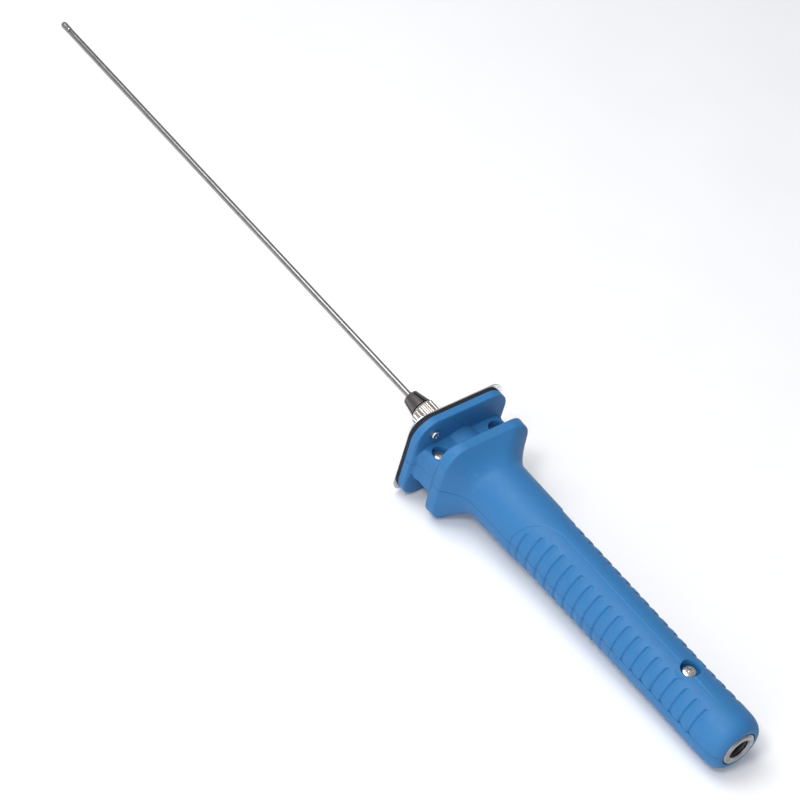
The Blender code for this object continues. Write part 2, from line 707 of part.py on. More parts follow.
def make_leads():
    side = LEAD_SIDE
    pin_tail = HOUSING_FRONT + 3.0 * MM + GAP
    positive = [
        (-46.9 * MM, 0.0, 0.0),
        (-50.0 * MM, 1.0 * MM, 0.0),
        (-58.0 * MM, 5.0 * MM, 0.0),
        (-80.0 * MM, side, 0.0),
        (-100.0 * MM, side, 0.0),
        (-115.0 * MM, side, 0.0),
        (-121.5 * MM, 6.6 * MM, 0.0),
        (-125.2 * MM, 3.2 * MM, 0.0),
        (pin_tail + 0.8 * MM, 0.2 * MM, 0.0),
        (pin_tail, 0.0, 0.0),
    ]
    lead("lead_positive", positive, "red_wire", 24)
    leaf_tail = (HOUSING_FRONT + 3.0 * MM, 0.0, -3.8 * MM)
    negative = [
        (-15.8 * MM, -7.1 * MM, 0.0),
        (-19.5 * MM, -7.1 * MM, 0.0),
        (-25.0 * MM, -7.0 * MM, 0.0),
        (-32.0 * MM, -6.4 * MM, 0.0),
        (-40.0 * MM, -6.4 * MM, 0.0),
        (-60.0 * MM, -side, 0.0),
        (-90.0 * MM, -side, 0.0),
        (-115.0 * MM, -side, 0.0),
        (-121.5 * MM, -6.6 * MM, -1.0 * MM),
        (-125.2 * MM, -2.8 * MM, -3.3 * MM),
        (leaf_tail[0] + 0.8 * MM, -0.2 * MM, leaf_tail[2]),
        leaf_tail,
    ]
    lead("lead_negative", negative, "black_wire", 30)


def make_shell_screws():
    for label, (centre, size) in SHELL_SCREWS.items():
        name, head, end = "shell_screw_" + label, size["head"], size["end"]
        under = size["seat"] + GAP
        top = under + size["rise"]
        profile = [
            (top, 0.0),
            (top, head * 0.6),
            (top - 0.35 * MM, head * 0.88),
            (top - 0.9 * MM, head),
            (under, head),
            (under, SHANK_RADIUS),
            (end + 1.2 * MM, SHANK_RADIUS),
            (end, 0.0),
        ]
        screw = turned(name, profile, "screw_steel", steps=20, axis="Z", centre=centre)
        cross_recess(screw, name, (*centre, top), head * 0.24, head * 1.14, "Z")


make_shells()
make_shield()
make_shield_screws()
make_bush()
make_chuck()
make_nut()
make_collet()
make_needle()
make_contact_socket()
make_lock_nut()
make_socket()
make_leads()
make_shell_screws()
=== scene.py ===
"""Looks for the hot-needle foam cutter pen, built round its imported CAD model.

The frame is in metres, +Z up. Sizes here are in millimetres. Stations run along the tool's axis from
a plane 0.9 mm in front of the heat shield, positive towards the needle's tip. Angles are measured from
the parting plane on the +Y side, up over the top. to_frame() gives the frame's metres.
"""

import math

import bpy
import bmesh
import numpy as np
from mathutils import Matrix, Vector


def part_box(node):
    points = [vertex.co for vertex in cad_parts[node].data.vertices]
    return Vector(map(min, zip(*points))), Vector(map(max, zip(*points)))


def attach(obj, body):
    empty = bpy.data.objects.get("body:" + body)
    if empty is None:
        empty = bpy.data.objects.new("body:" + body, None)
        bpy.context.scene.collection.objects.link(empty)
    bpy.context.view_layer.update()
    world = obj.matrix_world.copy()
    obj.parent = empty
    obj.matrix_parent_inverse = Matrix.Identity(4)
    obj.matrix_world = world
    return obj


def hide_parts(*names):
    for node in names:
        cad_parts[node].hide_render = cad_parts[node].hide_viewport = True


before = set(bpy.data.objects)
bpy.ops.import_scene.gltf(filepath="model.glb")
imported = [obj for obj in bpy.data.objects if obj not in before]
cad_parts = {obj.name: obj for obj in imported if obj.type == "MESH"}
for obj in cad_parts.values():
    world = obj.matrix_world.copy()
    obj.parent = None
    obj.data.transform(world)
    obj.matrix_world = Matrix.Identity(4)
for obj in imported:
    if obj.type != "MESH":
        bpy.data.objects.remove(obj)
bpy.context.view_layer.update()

MM = 0.001
SHIELD_FRONT = -0.9
SHIELD_LOW, SHIELD_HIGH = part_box("heat_shield")
AXIS = Vector((SHIELD_HIGH.x - SHIELD_FRONT * MM, 0.0, (SHIELD_LOW.z + SHIELD_HIGH.z) / 2.0))


def stations(node):
    """The rear and front stations of a CAD node."""
    low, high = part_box(node)
    return (low.x - AXIS.x) / MM, (high.x - AXIS.x) / MM


def half_width(node):
    low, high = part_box(node)
    return (high.y - low.y) / 2.0 / MM


# Shells: half width, half height and corner radius of the guards and the neck, then the same three
# as knots of (station, size) along the front end
SHELL_END, GUARD_FRONT = stations("upper_shell")
GUARD = (half_width("upper_shell"), 17.0, 8.0)
NECK = (16.5, 7.0, 1.6)
REAR_GUARD = (17.8, 16.6, 8.5)
GUARD_RIM_REAR = -5.0
REAR_GUARD_REAR = -18.4
KNOT_ROUNDING = (0.35, 0.15, 0.35)
WIDTH_KNOTS = ((-4.9, GUARD[0]), (-6.0, 17.2), (-7.6, NECK[0]), (-13.4, NECK[0]),
               (-15.5, REAR_GUARD[0]))
HEIGHT_KNOTS = ((-4.9, GUARD[1]), (-5.25, 16.0), (-5.5, NECK[1]), (-14.0, NECK[1]), (-14.5, 15.4),
                (-15.4, REAR_GUARD[1]))
CORNER_KNOTS = ((-5.0, GUARD[2]), (-6.2, NECK[2]), (-13.4, NECK[2]), (-15.5, REAR_GUARD[2]))
NECK_BARREL = 8.4
NECK_BLEND = 0.2
FLARE_END = -27.5
FLARE_POWER = 1.7
HANDLE_FRONT_RADIUS = 11.3
HANDLE_REAR_RADIUS = 10.3
HANDLE_ROUND_START = -141.0
HANDLE_END_RADIUS = 7.3
WALL = 2.0
FRONT_EDGE = 0.45
PARTING_GAP = 0.16
PARTING_EDGE = 0.22
CAVITY_COLUMNS = 41
BOSS_RADIUS = 5.0
BOSS_TOP = HANDLE_REAR_RADIUS - 1.0

# Grip: one sunk panel on each side of the handle, with scooped grooves across it. The groove tops are
# in degrees, and the last one holds for every later groove. The panel's edge and the grooves' top ends
# ease in over a length, and their front walls over a share of their width.
PANEL_FRONT = -46.3
PANEL_FULL = -60.0
PANEL_TOP = math.radians(83.5)
PANEL_DEPTH = 0.32
PANEL_EDGE = 0.35
PANEL_FADE = (-116.0, -138.0)
GROOVES = 19
GROOVE_FIRST = -51.0
GROOVE_PITCH = 4.65
GROOVE_WIDTH = 2.8
GROOVE_DEPTH = 0.65
GROOVE_WALL = 0.16
GROOVE_CLIMB = 1.3
GROOVE_END = 0.6
GROOVE_TOPS = (41.0, 56.0, 62.0)
LOWER_GROOVE_FADE = (-86.0, -108.0)

# Nut: the flutes' half width is a share of their pitch
NUT_RADIUS = half_width("chuck_nut")
NUT_BORE = 3.4
FLUTES = 22
FLUTE_DEPTH = 0.42
FLUTE_HALF_WIDTH = 0.36

# Shell screws: place, seat height, recess radius, head radius and height, and the pilot hole's end
LEFT_SCREW = {"place": (-10.0, 12.0), "seat": 4.4, "recess": 3.0, "head": 2.1, "rise": 1.6,
              "end": -6.0}
RIGHT_SCREW = dict(LEFT_SCREW, place=(-10.0, -12.0))
REAR_SCREW = {"place": (-119.7, 0.0), "seat": 7.2, "recess": 3.4, "head": 2.55, "rise": 1.9,
              "end": -8.0}
SHELL_SCREWS = {"left": LEFT_SCREW, "right": RIGHT_SCREW, "rear": REAR_SCREW}
SHANK_RADIUS = 1.25
HOLE_RADIUS = 1.55
HEAD_LIFT = 0.05

# Heat shield, and its two screws in opposite corners
SHIELD_CORNER = 6.0
BUSH_HOLE = 6.3
PLATE_EDGE = 0.12
GASKET_SWELL = 0.28
SHIELD_SCREWS = {"upper": (12.2, 11.5), "lower": (-12.2, -11.5)}
SHIELD_SEAT = -5.2
SHIELD_HEAD = (1.4, 1.3)
SHIELD_SHANK_RADIUS = 0.9
SHIELD_RECESS = 1.7
SHIELD_RECESS_END = -12.4
SHIELD_HOLE = 1.2

# Camera: angles in degrees, aimed just beside the collet's tip
CAMERA_AZIMUTH = 219.2
CAMERA_ELEVATION = 45.1
CAMERA_ROLL = 17.1
CAMERA_DISTANCE = 1210.0
CAMERA_AIM = (1.55, 3.03, -1.37)
CAMERA_LENS = 166.5
LIGHT_AIM = (-40.0, 0.0, 0.0)


def to_frame(x, y, z):
    """Frame coordinates in metres of points in millimetres from the tool's origin."""
    moved = np.broadcast_arrays(AXIS.x + MM * x, AXIS.y + MM * y, AXIS.z + MM * z)
    return np.stack(moved, axis=-1)


# Mesh tools ---------------------------------------------------------------------------------

def link(name, mesh, material=None):
    piece = bpy.data.objects.new(name, mesh)
    bpy.context.scene.collection.objects.link(piece)
    if material:
        mesh.materials.append(material)
    return piece


def skin(name, points, material=None, closed_rows=False, caps=False):
    """A mesh over a grid of points whose rows are closed loops; doubled points are merged."""
    rows, columns = points.shape[:2]
    index = np.arange(rows * columns).reshape(rows, columns)
    around = np.concatenate([index, index[:, :1]], axis=1)
    if closed_rows:
        around = np.concatenate([around, around[:1]], axis=0)
    corners = [around[:-1, :-1], around[:-1, 1:], around[1:, 1:], around[1:, :-1]]
    faces = np.stack(corners, axis=-1).reshape(-1, 4).tolist()
    if caps:
        faces += [index[0].tolist(), index[-1].tolist()]
    mesh = bpy.data.meshes.new(name)
    mesh.from_pydata(points.reshape(-1, 3).tolist(), [], faces)
    bm = bmesh.new()
    bm.from_mesh(mesh)
    bmesh.ops.remove_doubles(bm, verts=bm.verts, dist=0.002 * MM)
    bmesh.ops.recalc_face_normals(bm, faces=bm.faces)
    bm.to_mesh(mesh)
    bm.free()
    return link(name, mesh, material)


def combine(piece, cutters, operation="DIFFERENCE"):
    """Applies one exact Boolean with cutters that stand clear of each other, and removes them."""
    bm = bmesh.new()
    for cutter in cutters:
        bm.from_mesh(cutter.data)
    bm.to_mesh(cutters[0].data)
    bm.free()
    modifier = piece.modifiers.new("cut", "BOOLEAN")
    modifier.operation = operation
    modifier.solver = "EXACT"
    modifier.object = cutters[0]
    bpy.context.view_layer.update()
    seen = piece.evaluated_get(bpy.context.evaluated_depsgraph_get())
    mesh = bpy.data.meshes.new_from_object(seen)
    piece.modifiers.clear()
    piece.data = mesh
    for cutter in cutters:
        bpy.data.objects.remove(cutter)


def finish_piece(piece, node, body, degrees=32.0):
    """Shades a piece, edges above an angle staying sharp, attaches it to its body and hides the CAD
    node it stands for.
    """
    piece.data.shade_smooth()
    piece.data.set_sharp_from_angle(angle=math.radians(degrees))
    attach(piece, body)
    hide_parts(node)


def filleted(profile, radius, closed):
    """Rounds the corners of a profile of (station, radius) points, by curves of a few steps."""
    steps = 4
    points = [np.array(point, float) for point in profile]
    rounded = []
    for n, corner in enumerate(points):
        if not closed and n in (0, len(points) - 1):
            rounded.append(corner)
            continue
        ends = []
        for neighbour in (points[n - 1], points[(n + 1) % len(points)]):
            side = neighbour - corner
            length = np.linalg.norm(side)
            ends.append(corner + side * min(radius / length, 0.45))
        for k in range(steps + 1 if radius else 1):
            t = k / steps
            rounded.append((1 - t) ** 2 * ends[0] + 2 * t * (1 - t) * corner + t * t * ends[1])
    return np.array(rounded)


def turned(name, profile, material=None, columns=96, fillet=0.12, ring=False, shape=None,
           axis="X", centre=(0.0, 0.0)):
    """Turns a profile of (height, radius) points about an axis along X, or upright through (x, y).

    A ring's profile closes on itself; any other starts and ends on the axis. shape(height, radius,
    angle) may change the radius.
    """
    rows = filleted(profile, fillet, closed=ring)
    height, radius = rows[:, :1], rows[:, 1:]
    angle = np.linspace(0.0, 2.0 * math.pi, columns, endpoint=False)[None, :]
    if shape:
        radius = shape(height, radius, angle)
    across, up = radius * np.cos(angle), radius * np.sin(angle)
    if axis == "X":
        points = to_frame(height, centre[0] + across, centre[1] + up)
    else:
        points = to_frame(centre[0] + across, centre[1] + up, height)
    return skin(name, points, material, closed_rows=ring)


def prism(name, outline, low, high, axis="Z", taper=1.0, centre=(0.0, 0.0)):
    """A straight or tapered cutter over an outline of (a, b) points, from low to high."""
    outline = np.array(outline)[None, :, :] * np.array([1.0, taper])[:, None, None]
    a, b = centre[0] + outline[..., 0], centre[1] + outline[..., 1]
    level = np.array([high, low])[:, None]
    points = to_frame(a, b, level) if axis == "Z" else to_frame(level, a, b)
    return skin(name, points, caps=True)


def circle(radius, count=64):
    angle = np.linspace(0.0, 2.0 * math.pi, count, endpoint=False)
    return np.stack([radius * np.cos(angle), radius * np.sin(angle)], axis=-1)


def rectangle(half_a, half_b):
    return [(half_a, half_b), (-half_a, half_b), (-half_a, -half_b), (half_a, -half_b)]


def smoothstep(t):
    t = np.clip(t, 0.0, 1.0)
    return t * t * (3.0 - 2.0 * t)


def rounded_rectangle(angle, half_y, half_z, corner):
    """Distance from the axis to a rounded rectangle, at angles up from +Y."""
    cosine, sine = np.abs(np.cos(angle)), np.abs(np.sin(angle))
    straight = np.minimum(half_y / np.maximum(cosine, 1e-6), half_z / np.maximum(sine, 1e-6))
    centre_y, centre_z = half_y - corner, half_z - corner
    along = cosine * centre_y + sine * centre_z
    room = along ** 2 - (centre_y ** 2 + centre_z ** 2 - corner ** 2)
    arc = along + np.sqrt(np.maximum(room, 0.0))
    in_corner = (straight * cosine > centre_y) & (straight * sine > centre_z)
    return np.where(in_corner, arc, straight)


# Materials ----------------------------------------------------------------------------------

class Graph:
    """A Principled material whose colour, roughness and bump come from noise in object space."""

    def __init__(self, name, colour, roughness, metallic=0.0):
        self.material = bpy.data.materials.new(name)
        self.material.use_nodes = True
        self.nodes = self.material.node_tree.nodes
        self.links = self.material.node_tree.links
        self.shader = self.nodes["Principled BSDF"]
        self.shader.inputs["Base Color"].default_value = (*colour, 1.0)
        self.shader.inputs["Roughness"].default_value = roughness
        self.shader.inputs["Metallic"].default_value = metallic
        self.place = self.nodes.new("ShaderNodeTexCoord").outputs["Object"]

    def noise(self, size, stretch=(1.0, 1.0, 1.0), detail=3.0):
        """Noise whose features are about size millimetres, longer along an axis by its stretch."""
        mapping = self.nodes.new("ShaderNodeMapping")
        mapping.inputs["Scale"].default_value = [1.0 / (size * MM * s) for s in stretch]
        self.links.new(self.place, mapping.inputs["Vector"])
        texture = self.nodes.new("ShaderNodeTexNoise")
        texture.inputs["Scale"].default_value = 1.0
        texture.inputs["Detail"].default_value = detail
        texture.inputs["Roughness"].default_value = 0.55
        self.links.new(mapping.outputs["Vector"], texture.inputs["Vector"])
        return texture.outputs["Fac"]

    def spread(self, value, low, high, start=0.3, end=0.7):
        """Maps a value's range from start to end onto low to high."""
        node = self.nodes.new("ShaderNodeMapRange")
        node.inputs["From Min"].default_value = start
        node.inputs["From Max"].default_value = end
        node.inputs["To Min"].default_value = low
        node.inputs["To Max"].default_value = high
        self.links.new(value, node.inputs["Value"])
        return node.outputs["Result"]

    def maths(self, operation, first, second):
        node = self.nodes.new("ShaderNodeMath")
        node.operation = operation
        for socket, value in zip(node.inputs, (first, second)):
            if isinstance(value, float):
                socket.default_value = value
            else:
                self.links.new(value, socket)
        return node.outputs["Value"]

    def blend(self, factor, first, second):
        """A colour between two colours, each a tuple or a socket."""
        node = self.nodes.new("ShaderNodeMix")
        node.data_type = "RGBA"
        self.links.new(factor, node.inputs["Factor"])
        sockets = [s for s in node.inputs if s.type == "RGBA"]
        for socket, value in zip(sockets, (first, second)):
            if isinstance(value, tuple):
                socket.default_value = (*value, 1.0)
            else:
                self.links.new(value, socket)
        return [s for s in node.outputs if s.type == "RGBA"][0]

    def edges(self):
        """How convex the surface is, from 0 on flat ground to 1 on an edge."""
        pointiness = self.nodes.new("ShaderNodeNewGeometry").outputs["Pointiness"]
        return self.spread(pointiness, 0.0, 1.0, 0.505, 0.56)

    def bump(self, height, distance):
        node = self.nodes.new("ShaderNodeBump")
        node.inputs["Strength"].default_value = 1.0
        node.inputs["Distance"].default_value = distance * MM
        self.links.new(height, node.inputs["Height"])
        self.links.new(node.outputs["Normal"], self.shader.inputs["Normal"])

    def connect(self, name, value):
        self.links.new(value, self.shader.inputs[name])


def scaled(colour, factor):
    return tuple(min(channel * factor, 1.0) for channel in colour)


def moulded_plastic(name, colour, roughness, wear=1.25, gloss=0.5):
    """Moulded plastic: faint flow marks, a spark-eroded grain, scuffs, and edges rubbed paler."""
    graph = Graph(name, colour, roughness)
    graph.shader.inputs["Specular IOR Level"].default_value = gloss
    flow = graph.spread(graph.noise(24.0, (3.0, 1.0, 1.0)), 0.0, 1.0)
    base = graph.blend(flow, scaled(colour, 0.93), scaled(colour, 1.06))
    speck = graph.spread(graph.noise(0.8, detail=6.0), 0.0, 0.5, 0.35, 0.8)
    base = graph.blend(speck, base, scaled(colour, 1.12))
    rubbed = graph.maths("MULTIPLY", graph.edges(), graph.spread(graph.noise(3.0), 0.3, 1.0))
    base = graph.blend(rubbed, base, scaled(colour, wear))
    graph.connect("Base Color", base)
    scuff = graph.spread(graph.noise(0.5, (9.0, 1.0, 1.0), 5.0), 0.0, 0.10, 0.55, 0.75)
    even = graph.spread(graph.noise(6.0), roughness - 0.05, roughness + 0.06)
    graph.connect("Roughness", graph.maths("ADD", even, scuff))
    graph.bump(graph.noise(0.22, detail=4.0), 0.012)
    return graph.material


def worked_metal(name, colour, roughness, stretch, tarnish=0.75):
    """Turned, rolled or drawn metal: tool marks along the stretched direction, patchy tarnish, and a
    painted highlight that lightens its edges.
    """
    graph = Graph(name, colour, roughness, metallic=1.0)
    patches = graph.spread(graph.noise(2.6, detail=5.0), 0.0, 1.0, 0.38, 0.72)
    base = graph.blend(patches, colour, scaled(colour, tarnish))
    # Painted highlight: convex edges are blended towards a paler copy of the colour, as if they caught
    # the light.
    painted_edge_highlight = graph.maths("MULTIPLY", graph.edges(), 0.6)
    base = graph.blend(painted_edge_highlight, base, scaled(colour, 1.25))
    graph.connect("Base Color", base)
    marks = graph.noise(0.12, stretch, 4.0)
    lines = graph.spread(marks, roughness - 0.06, roughness + 0.10)
    smudge = graph.spread(graph.noise(4.0), 0.0, 0.08)
    graph.connect("Roughness", graph.maths("ADD", lines, smudge))
    graph.bump(marks, 0.006)
    return graph.material


def soft_rubber(name, colour):
    graph = Graph(name, colour, 0.72)
    dust = graph.spread(graph.noise(0.6, detail=6.0), 0.0, 1.0, 0.45, 0.75)
    graph.connect("Base Color", graph.blend(dust, colour, scaled(colour, 2.4)))
    graph.connect("Roughness", graph.spread(graph.noise(0.4), 0.62, 0.86))
    graph.bump(graph.noise(0.15, detail=5.0), 0.02)
    return graph.material


def fired_ceramic(name, colour):
    graph = Graph(name, colour, 0.55)
    cloud = graph.spread(graph.noise(1.5, detail=6.0), 0.0, 1.0)
    base = graph.blend(cloud, colour, scaled(colour, 0.86))
    specks = graph.spread(graph.noise(0.25, detail=2.0), 0.0, 0.5, 0.66, 0.74)
    graph.connect("Base Color", graph.blend(specks, base, (0.24, 0.20, 0.15)))
    graph.connect("Roughness", graph.spread(graph.noise(0.7), 0.45, 0.70))
    graph.bump(graph.noise(0.18, detail=5.0), 0.015)
    return graph.material


def woven_sleeve(name, colour, pitch):
    """Braided or wound threads that run round the axis, with paler crowns."""
    graph = Graph(name, colour, 0.75)
    wave = graph.nodes.new("ShaderNodeTexWave")
    wave.bands_direction = "DIAGONAL"
    wave.inputs["Scale"].default_value = 1.0
    wave.inputs["Distortion"].default_value = 0.6
    mapping = graph.nodes.new("ShaderNodeMapping")
    mapping.inputs["Scale"].default_value = [1.0 / (pitch * MM)] * 3
    graph.links.new(graph.place, mapping.inputs["Vector"])
    graph.links.new(mapping.outputs["Vector"], wave.inputs["Vector"])
    threads = wave.outputs["Fac"]
    graph.connect("Base Color", graph.blend(threads, scaled(colour, 0.6), colour))
    graph.connect("Roughness", graph.spread(threads, 0.9, 0.6, 0.0, 1.0))
    graph.bump(threads, 0.03)
    return graph.material


BLUE = moulded_plastic("blue_shell", (0.026, 0.146, 0.345), 0.52, gloss=0.28)
BLACK = moulded_plastic("black_housing", (0.018, 0.018, 0.020), 0.48, wear=1.8)
RUBBER = soft_rubber("gasket_rubber", (0.004, 0.005, 0.008))
PLATE_STEEL = worked_metal("plate_steel", (0.74, 0.74, 0.75), 0.20, (1.0, 12.0, 1.0))
NICKEL = worked_metal("bright_nickel", (0.50, 0.47, 0.445), 0.22, (14.0, 1.0, 1.0), 0.86)
COLLET_STEEL = worked_metal("collet_steel", (0.17, 0.155, 0.150), 0.30, (1.0, 10.0, 10.0), 0.65)
NEEDLE_STEEL = worked_metal("needle_steel", (0.34, 0.33, 0.325), 0.24, (60.0, 1.0, 1.0), 0.80)
RING_STEEL = worked_metal("ring_steel", (0.40, 0.40, 0.41), 0.30, (1.0, 10.0, 10.0), 0.6)
SCREW_STEEL = worked_metal("screw_steel", (0.74, 0.72, 0.69), 0.22, (4.0, 4.0, 1.0), 0.75)
BRASS = worked_metal("turned_brass", (0.78, 0.56, 0.24), 0.26, (1.0, 12.0, 12.0), 0.72)
CERAMIC = fired_ceramic("fired_ceramic", (0.80, 0.77, 0.70))
GLASS = woven_sleeve("glass_sleeve", (0.75, 0.72, 0.60), 0.5)
RED = soft_rubber("red_insulation", (0.50, 0.02, 0.02))
DARK = soft_rubber("black_insulation", (0.025, 0.025, 0.026))


# Shell halves -------------------------------------------------------------------------------

def softened(x, knots, values, width):
    """Straight lines between knots, with their corners rounded over width, read at stations x."""
    step = 0.05
    fine = np.arange(knots[-1] - 2.0, knots[0] + 2.0, step)
    line = np.interp(fine, knots[::-1], values[::-1])
    kernel = np.ones(int(width / step) * 2 + 1)
    kernel = np.convolve(kernel, kernel)
    kernel /= kernel.sum()
    padded = np.pad(line, len(kernel) // 2, mode="edge")
    return np.interp(x, fine, np.convolve(padded, kernel, mode="valid"))


def handle_radius(x):
    t = np.clip((FLARE_END - x) / (FLARE_END - HANDLE_ROUND_START), 0.0, 1.0)
    return HANDLE_FRONT_RADIUS + (HANDLE_REAR_RADIUS - HANDLE_FRONT_RADIUS) * t


def section(x):
    """Half width, half height and corner radius of the shell at stations x."""
    flare = np.linspace(REAR_GUARD_REAR, FLARE_END, 24)
    keep = (1.0 - (REAR_GUARD_REAR - flare) / (REAR_GUARD_REAR - FLARE_END)) ** FLARE_POWER
    sizes = []
    for n, knots in enumerate((WIDTH_KNOTS, HEIGHT_KNOTS, CORNER_KNOTS)):
        front = np.array([(GUARD_FRONT, GUARD[n]), *knots])
        flaring = handle_radius(flare) * (1.0 - keep) + REAR_GUARD[n] * keep
        places = np.concatenate([front[:, 0], flare, [HANDLE_ROUND_START, SHELL_END]])
        values = np.concatenate([front[:, 1], flaring, [HANDLE_REAR_RADIUS] * 2])
        sizes.append(softened(x, places, values, KNOT_ROUNDING[n]))
    return sizes


def panel_depth(x, rise, radius):
    """Depth of the sunk grip panel, whose front end is a long U and whose rear fades out."""
    along = np.clip((x - PANEL_FULL) / (PANEL_FRONT - PANEL_FULL), 0.0, None)
    across = rise / PANEL_TOP
    spread = np.maximum(np.hypot(along, across), 1e-6)
    slope = np.hypot(along / (PANEL_FRONT - PANEL_FULL), across / (PANEL_TOP * radius)) / spread
    inside = (1.0 - spread) / np.maximum(slope, 1e-6)
    fade = smoothstep((x - PANEL_FADE[1]) / (PANEL_FADE[0] - PANEL_FADE[1]))
    return PANEL_DEPTH * smoothstep(inside / PANEL_EDGE) * fade


def groove_depth(x, rise, radius, lower):
    """Scooped grooves: a steep front wall, a floor that climbs to the rear, and a round top end."""
    number = np.clip(np.round((GROOVE_FIRST - x) / GROOVE_PITCH), 0, GROOVES - 1)
    offset = x - (GROOVE_FIRST - number * GROOVE_PITCH)
    tops = np.array(GROOVE_TOPS + (GROOVE_TOPS[-1],) * (GROOVES - len(GROOVE_TOPS)))
    top = np.radians(tops[number.astype(int)])
    half = GROOVE_WIDTH / 2.0
    across = (half - offset) / GROOVE_WIDTH
    scoop = smoothstep(across / GROOVE_WALL) * np.clip(1.0 - across, 0.0, 1.0) ** GROOVE_CLIMB
    round_end = half - np.sqrt(np.maximum(half ** 2 - offset ** 2, 0.0))
    end = smoothstep(((top - rise) * radius - round_end) / GROOVE_END)
    depth = GROOVE_DEPTH * scoop * end * (np.abs(offset) < half)
    if lower:
        start, end = LOWER_GROOVE_FADE
        depth = depth * smoothstep((x - end) / (start - end))
    return depth


def outer_radius(x, angle, lower):
    """Distance from the axis to the skin; x is a column of stations and angle a row."""
    radius = rounded_rectangle(angle, *section(x))
    step = radius - NECK_BARREL
    radius = (radius + NECK_BARREL + np.sqrt(step ** 2 + NECK_BLEND ** 2)) / 2.0
    rise = math.pi / 2.0 - np.abs(angle - math.pi / 2.0)
    into_rear = np.clip((HANDLE_ROUND_START - x) / (HANDLE_ROUND_START - SHELL_END), 0.0, 1.0)
    drop = HANDLE_REAR_RADIUS - HANDLE_END_RADIUS
    rounding = HANDLE_END_RADIUS + drop * np.sqrt(1.0 - into_rear ** 2)
    radius = np.where(x < HANDLE_ROUND_START, rounding, radius)
    radius = radius - panel_depth(x, rise, radius) - groove_depth(x, rise, radius, lower)
    edge = np.clip(1.0 - (GUARD_FRONT - x) / FRONT_EDGE, 0.0, 1.0)
    radius = radius - FRONT_EDGE * (1.0 - np.sqrt(1.0 - edge ** 2))
    split = np.clip(1.0 - radius * rise / PARTING_EDGE, 0.0, 1.0)
    return radius - 0.6 * PARTING_EDGE * split ** 2


def cavity_profile():
    """Station and radius along the hollow, from the front to the socket's mouth."""
    return [
        (GUARD_FRONT, BUSH_HOLE),
        (-4.2, BUSH_HOLE),
        (-4.22, 7.7),
        (-7.28, 7.7),
        (-7.3, 5.2),
        (-14.2, 5.2),
        (-14.22, 8.0),
        (-22.0, 8.6),
        (FLARE_END, HANDLE_FRONT_RADIUS - WALL),
        (-143.08, HANDLE_REAR_RADIUS - WALL - 0.9),
        (-143.1, 5.3),
        (-145.3, 5.3),
        (-145.32, 6.5),
        (SHELL_END, 6.5),
    ]


def shell_stations():
    """Stations from front to rear, close together where the skin turns."""
    turn = np.linspace(0.0, math.pi / 2.0, 6)
    front = GUARD_FRONT - FRONT_EDGE * (1.0 - np.cos(turn))
    pieces = [front]
    for start, end, step in (
        (GUARD_FRONT - FRONT_EDGE, -4.2, 0.5),
        (-4.2, -6.6, 0.1),
        (-6.6, -8.2, 0.25),
        (-8.2, -13.0, 0.3),
        (-13.0, -15.8, 0.1),
        (-15.8, -17.2, 0.4),
        (-17.2, -19.4, 0.18),
        (-19.4, FLARE_END, 0.4),
        (FLARE_END, -45.4, 0.8),
        (-45.4, GROOVE_FIRST - GROOVE_PITCH * (GROOVES - 0.5), GROOVE_PITCH / 17.0),
        (-136.9, HANDLE_ROUND_START, 0.7),
    ):
        pieces.append(np.arange(start, end, -step))
    length = HANDLE_ROUND_START - SHELL_END
    pieces.append(HANDLE_ROUND_START - length * np.sin(np.linspace(0.0, math.pi / 2.0, 16)))
    steps = [point[0] for point in cavity_profile()[1:-1]]
    joined = np.unique(np.round(np.concatenate(pieces + [steps]), 4))
    return joined[::-1][:, None]


def shell_angles():
    """Angles over one half, close together at the parting plane, the corners and the panel's edge."""
    quarter = np.concatenate([
        [0.0, 0.2, 0.45, 0.8, 1.3],
        np.arange(2.0, 17.0, 1.0),
        np.arange(17.0, 26.0, 0.5),
        np.arange(26.0, 54.0, 0.85),
        np.arange(54.0, 80.0, 0.9),
        np.arange(80.0, 90.1, 0.5),
    ])
    return np.radians(np.concatenate([quarter, 180.0 - quarter[-2::-1]]))[None, :]


def make_shell(name, node, side):
    x, angle = shell_stations(), shell_angles()
    radius = outer_radius(x, angle, side < 0)
    y, z = radius * np.cos(angle), np.maximum(radius * np.sin(angle), PARTING_GAP / 2.0)
    hollow_angle = np.linspace(math.pi, 0.0, CAVITY_COLUMNS)[None, :]
    knots = np.array(cavity_profile())[::-1]
    hollow = np.interp(x, knots[:, 0], knots[:, 1])
    inner_y = hollow * np.cos(hollow_angle)
    inner_z = np.maximum(hollow * np.sin(hollow_angle), PARTING_GAP / 2.0)
    loop_y = np.concatenate([y, inner_y], axis=1)
    loop_z = side * np.concatenate([z, inner_z], axis=1)
    shell = skin(name, to_frame(x, loop_y, loop_z), BLUE, caps=True)

    boss = prism(name + "_boss", circle(BOSS_RADIUS), side * PARTING_GAP / 2.0, side * BOSS_TOP,
                 centre=REAR_SCREW["place"])
    combine(shell, [boss], "UNION")
    cutters = []
    for screw in SHELL_SCREWS.values():
        if side > 0:
            profile = [(20.0, 0.0), (20.0, screw["recess"]), (screw["seat"], screw["recess"]),
                       (screw["seat"], HOLE_RADIUS), (-1.0, HOLE_RADIUS), (-1.0, 0.0)]
        else:
            profile = [(1.0, 0.0), (1.0, HOLE_RADIUS), (screw["end"], HOLE_RADIUS), (screw["end"], 0.0)]
        cutters.append(turned("screw_room", profile, columns=64, fillet=0.0, axis="Z",
                              centre=screw["place"]))
    profile = [(1.0, 0.0), (1.0, SHIELD_HOLE), (SHIELD_SEAT, SHIELD_HOLE), (SHIELD_SEAT, SHIELD_RECESS),
               (SHIELD_RECESS_END, SHIELD_RECESS), (SHIELD_RECESS_END, 0.0)]
    centre = SHIELD_SCREWS["upper" if side > 0 else "lower"]
    cutters.append(turned("shield_room", profile, columns=48, fillet=0.0, centre=centre))
    combine(shell, cutters)
    finish_piece(shell, node, "handle", 28.0)


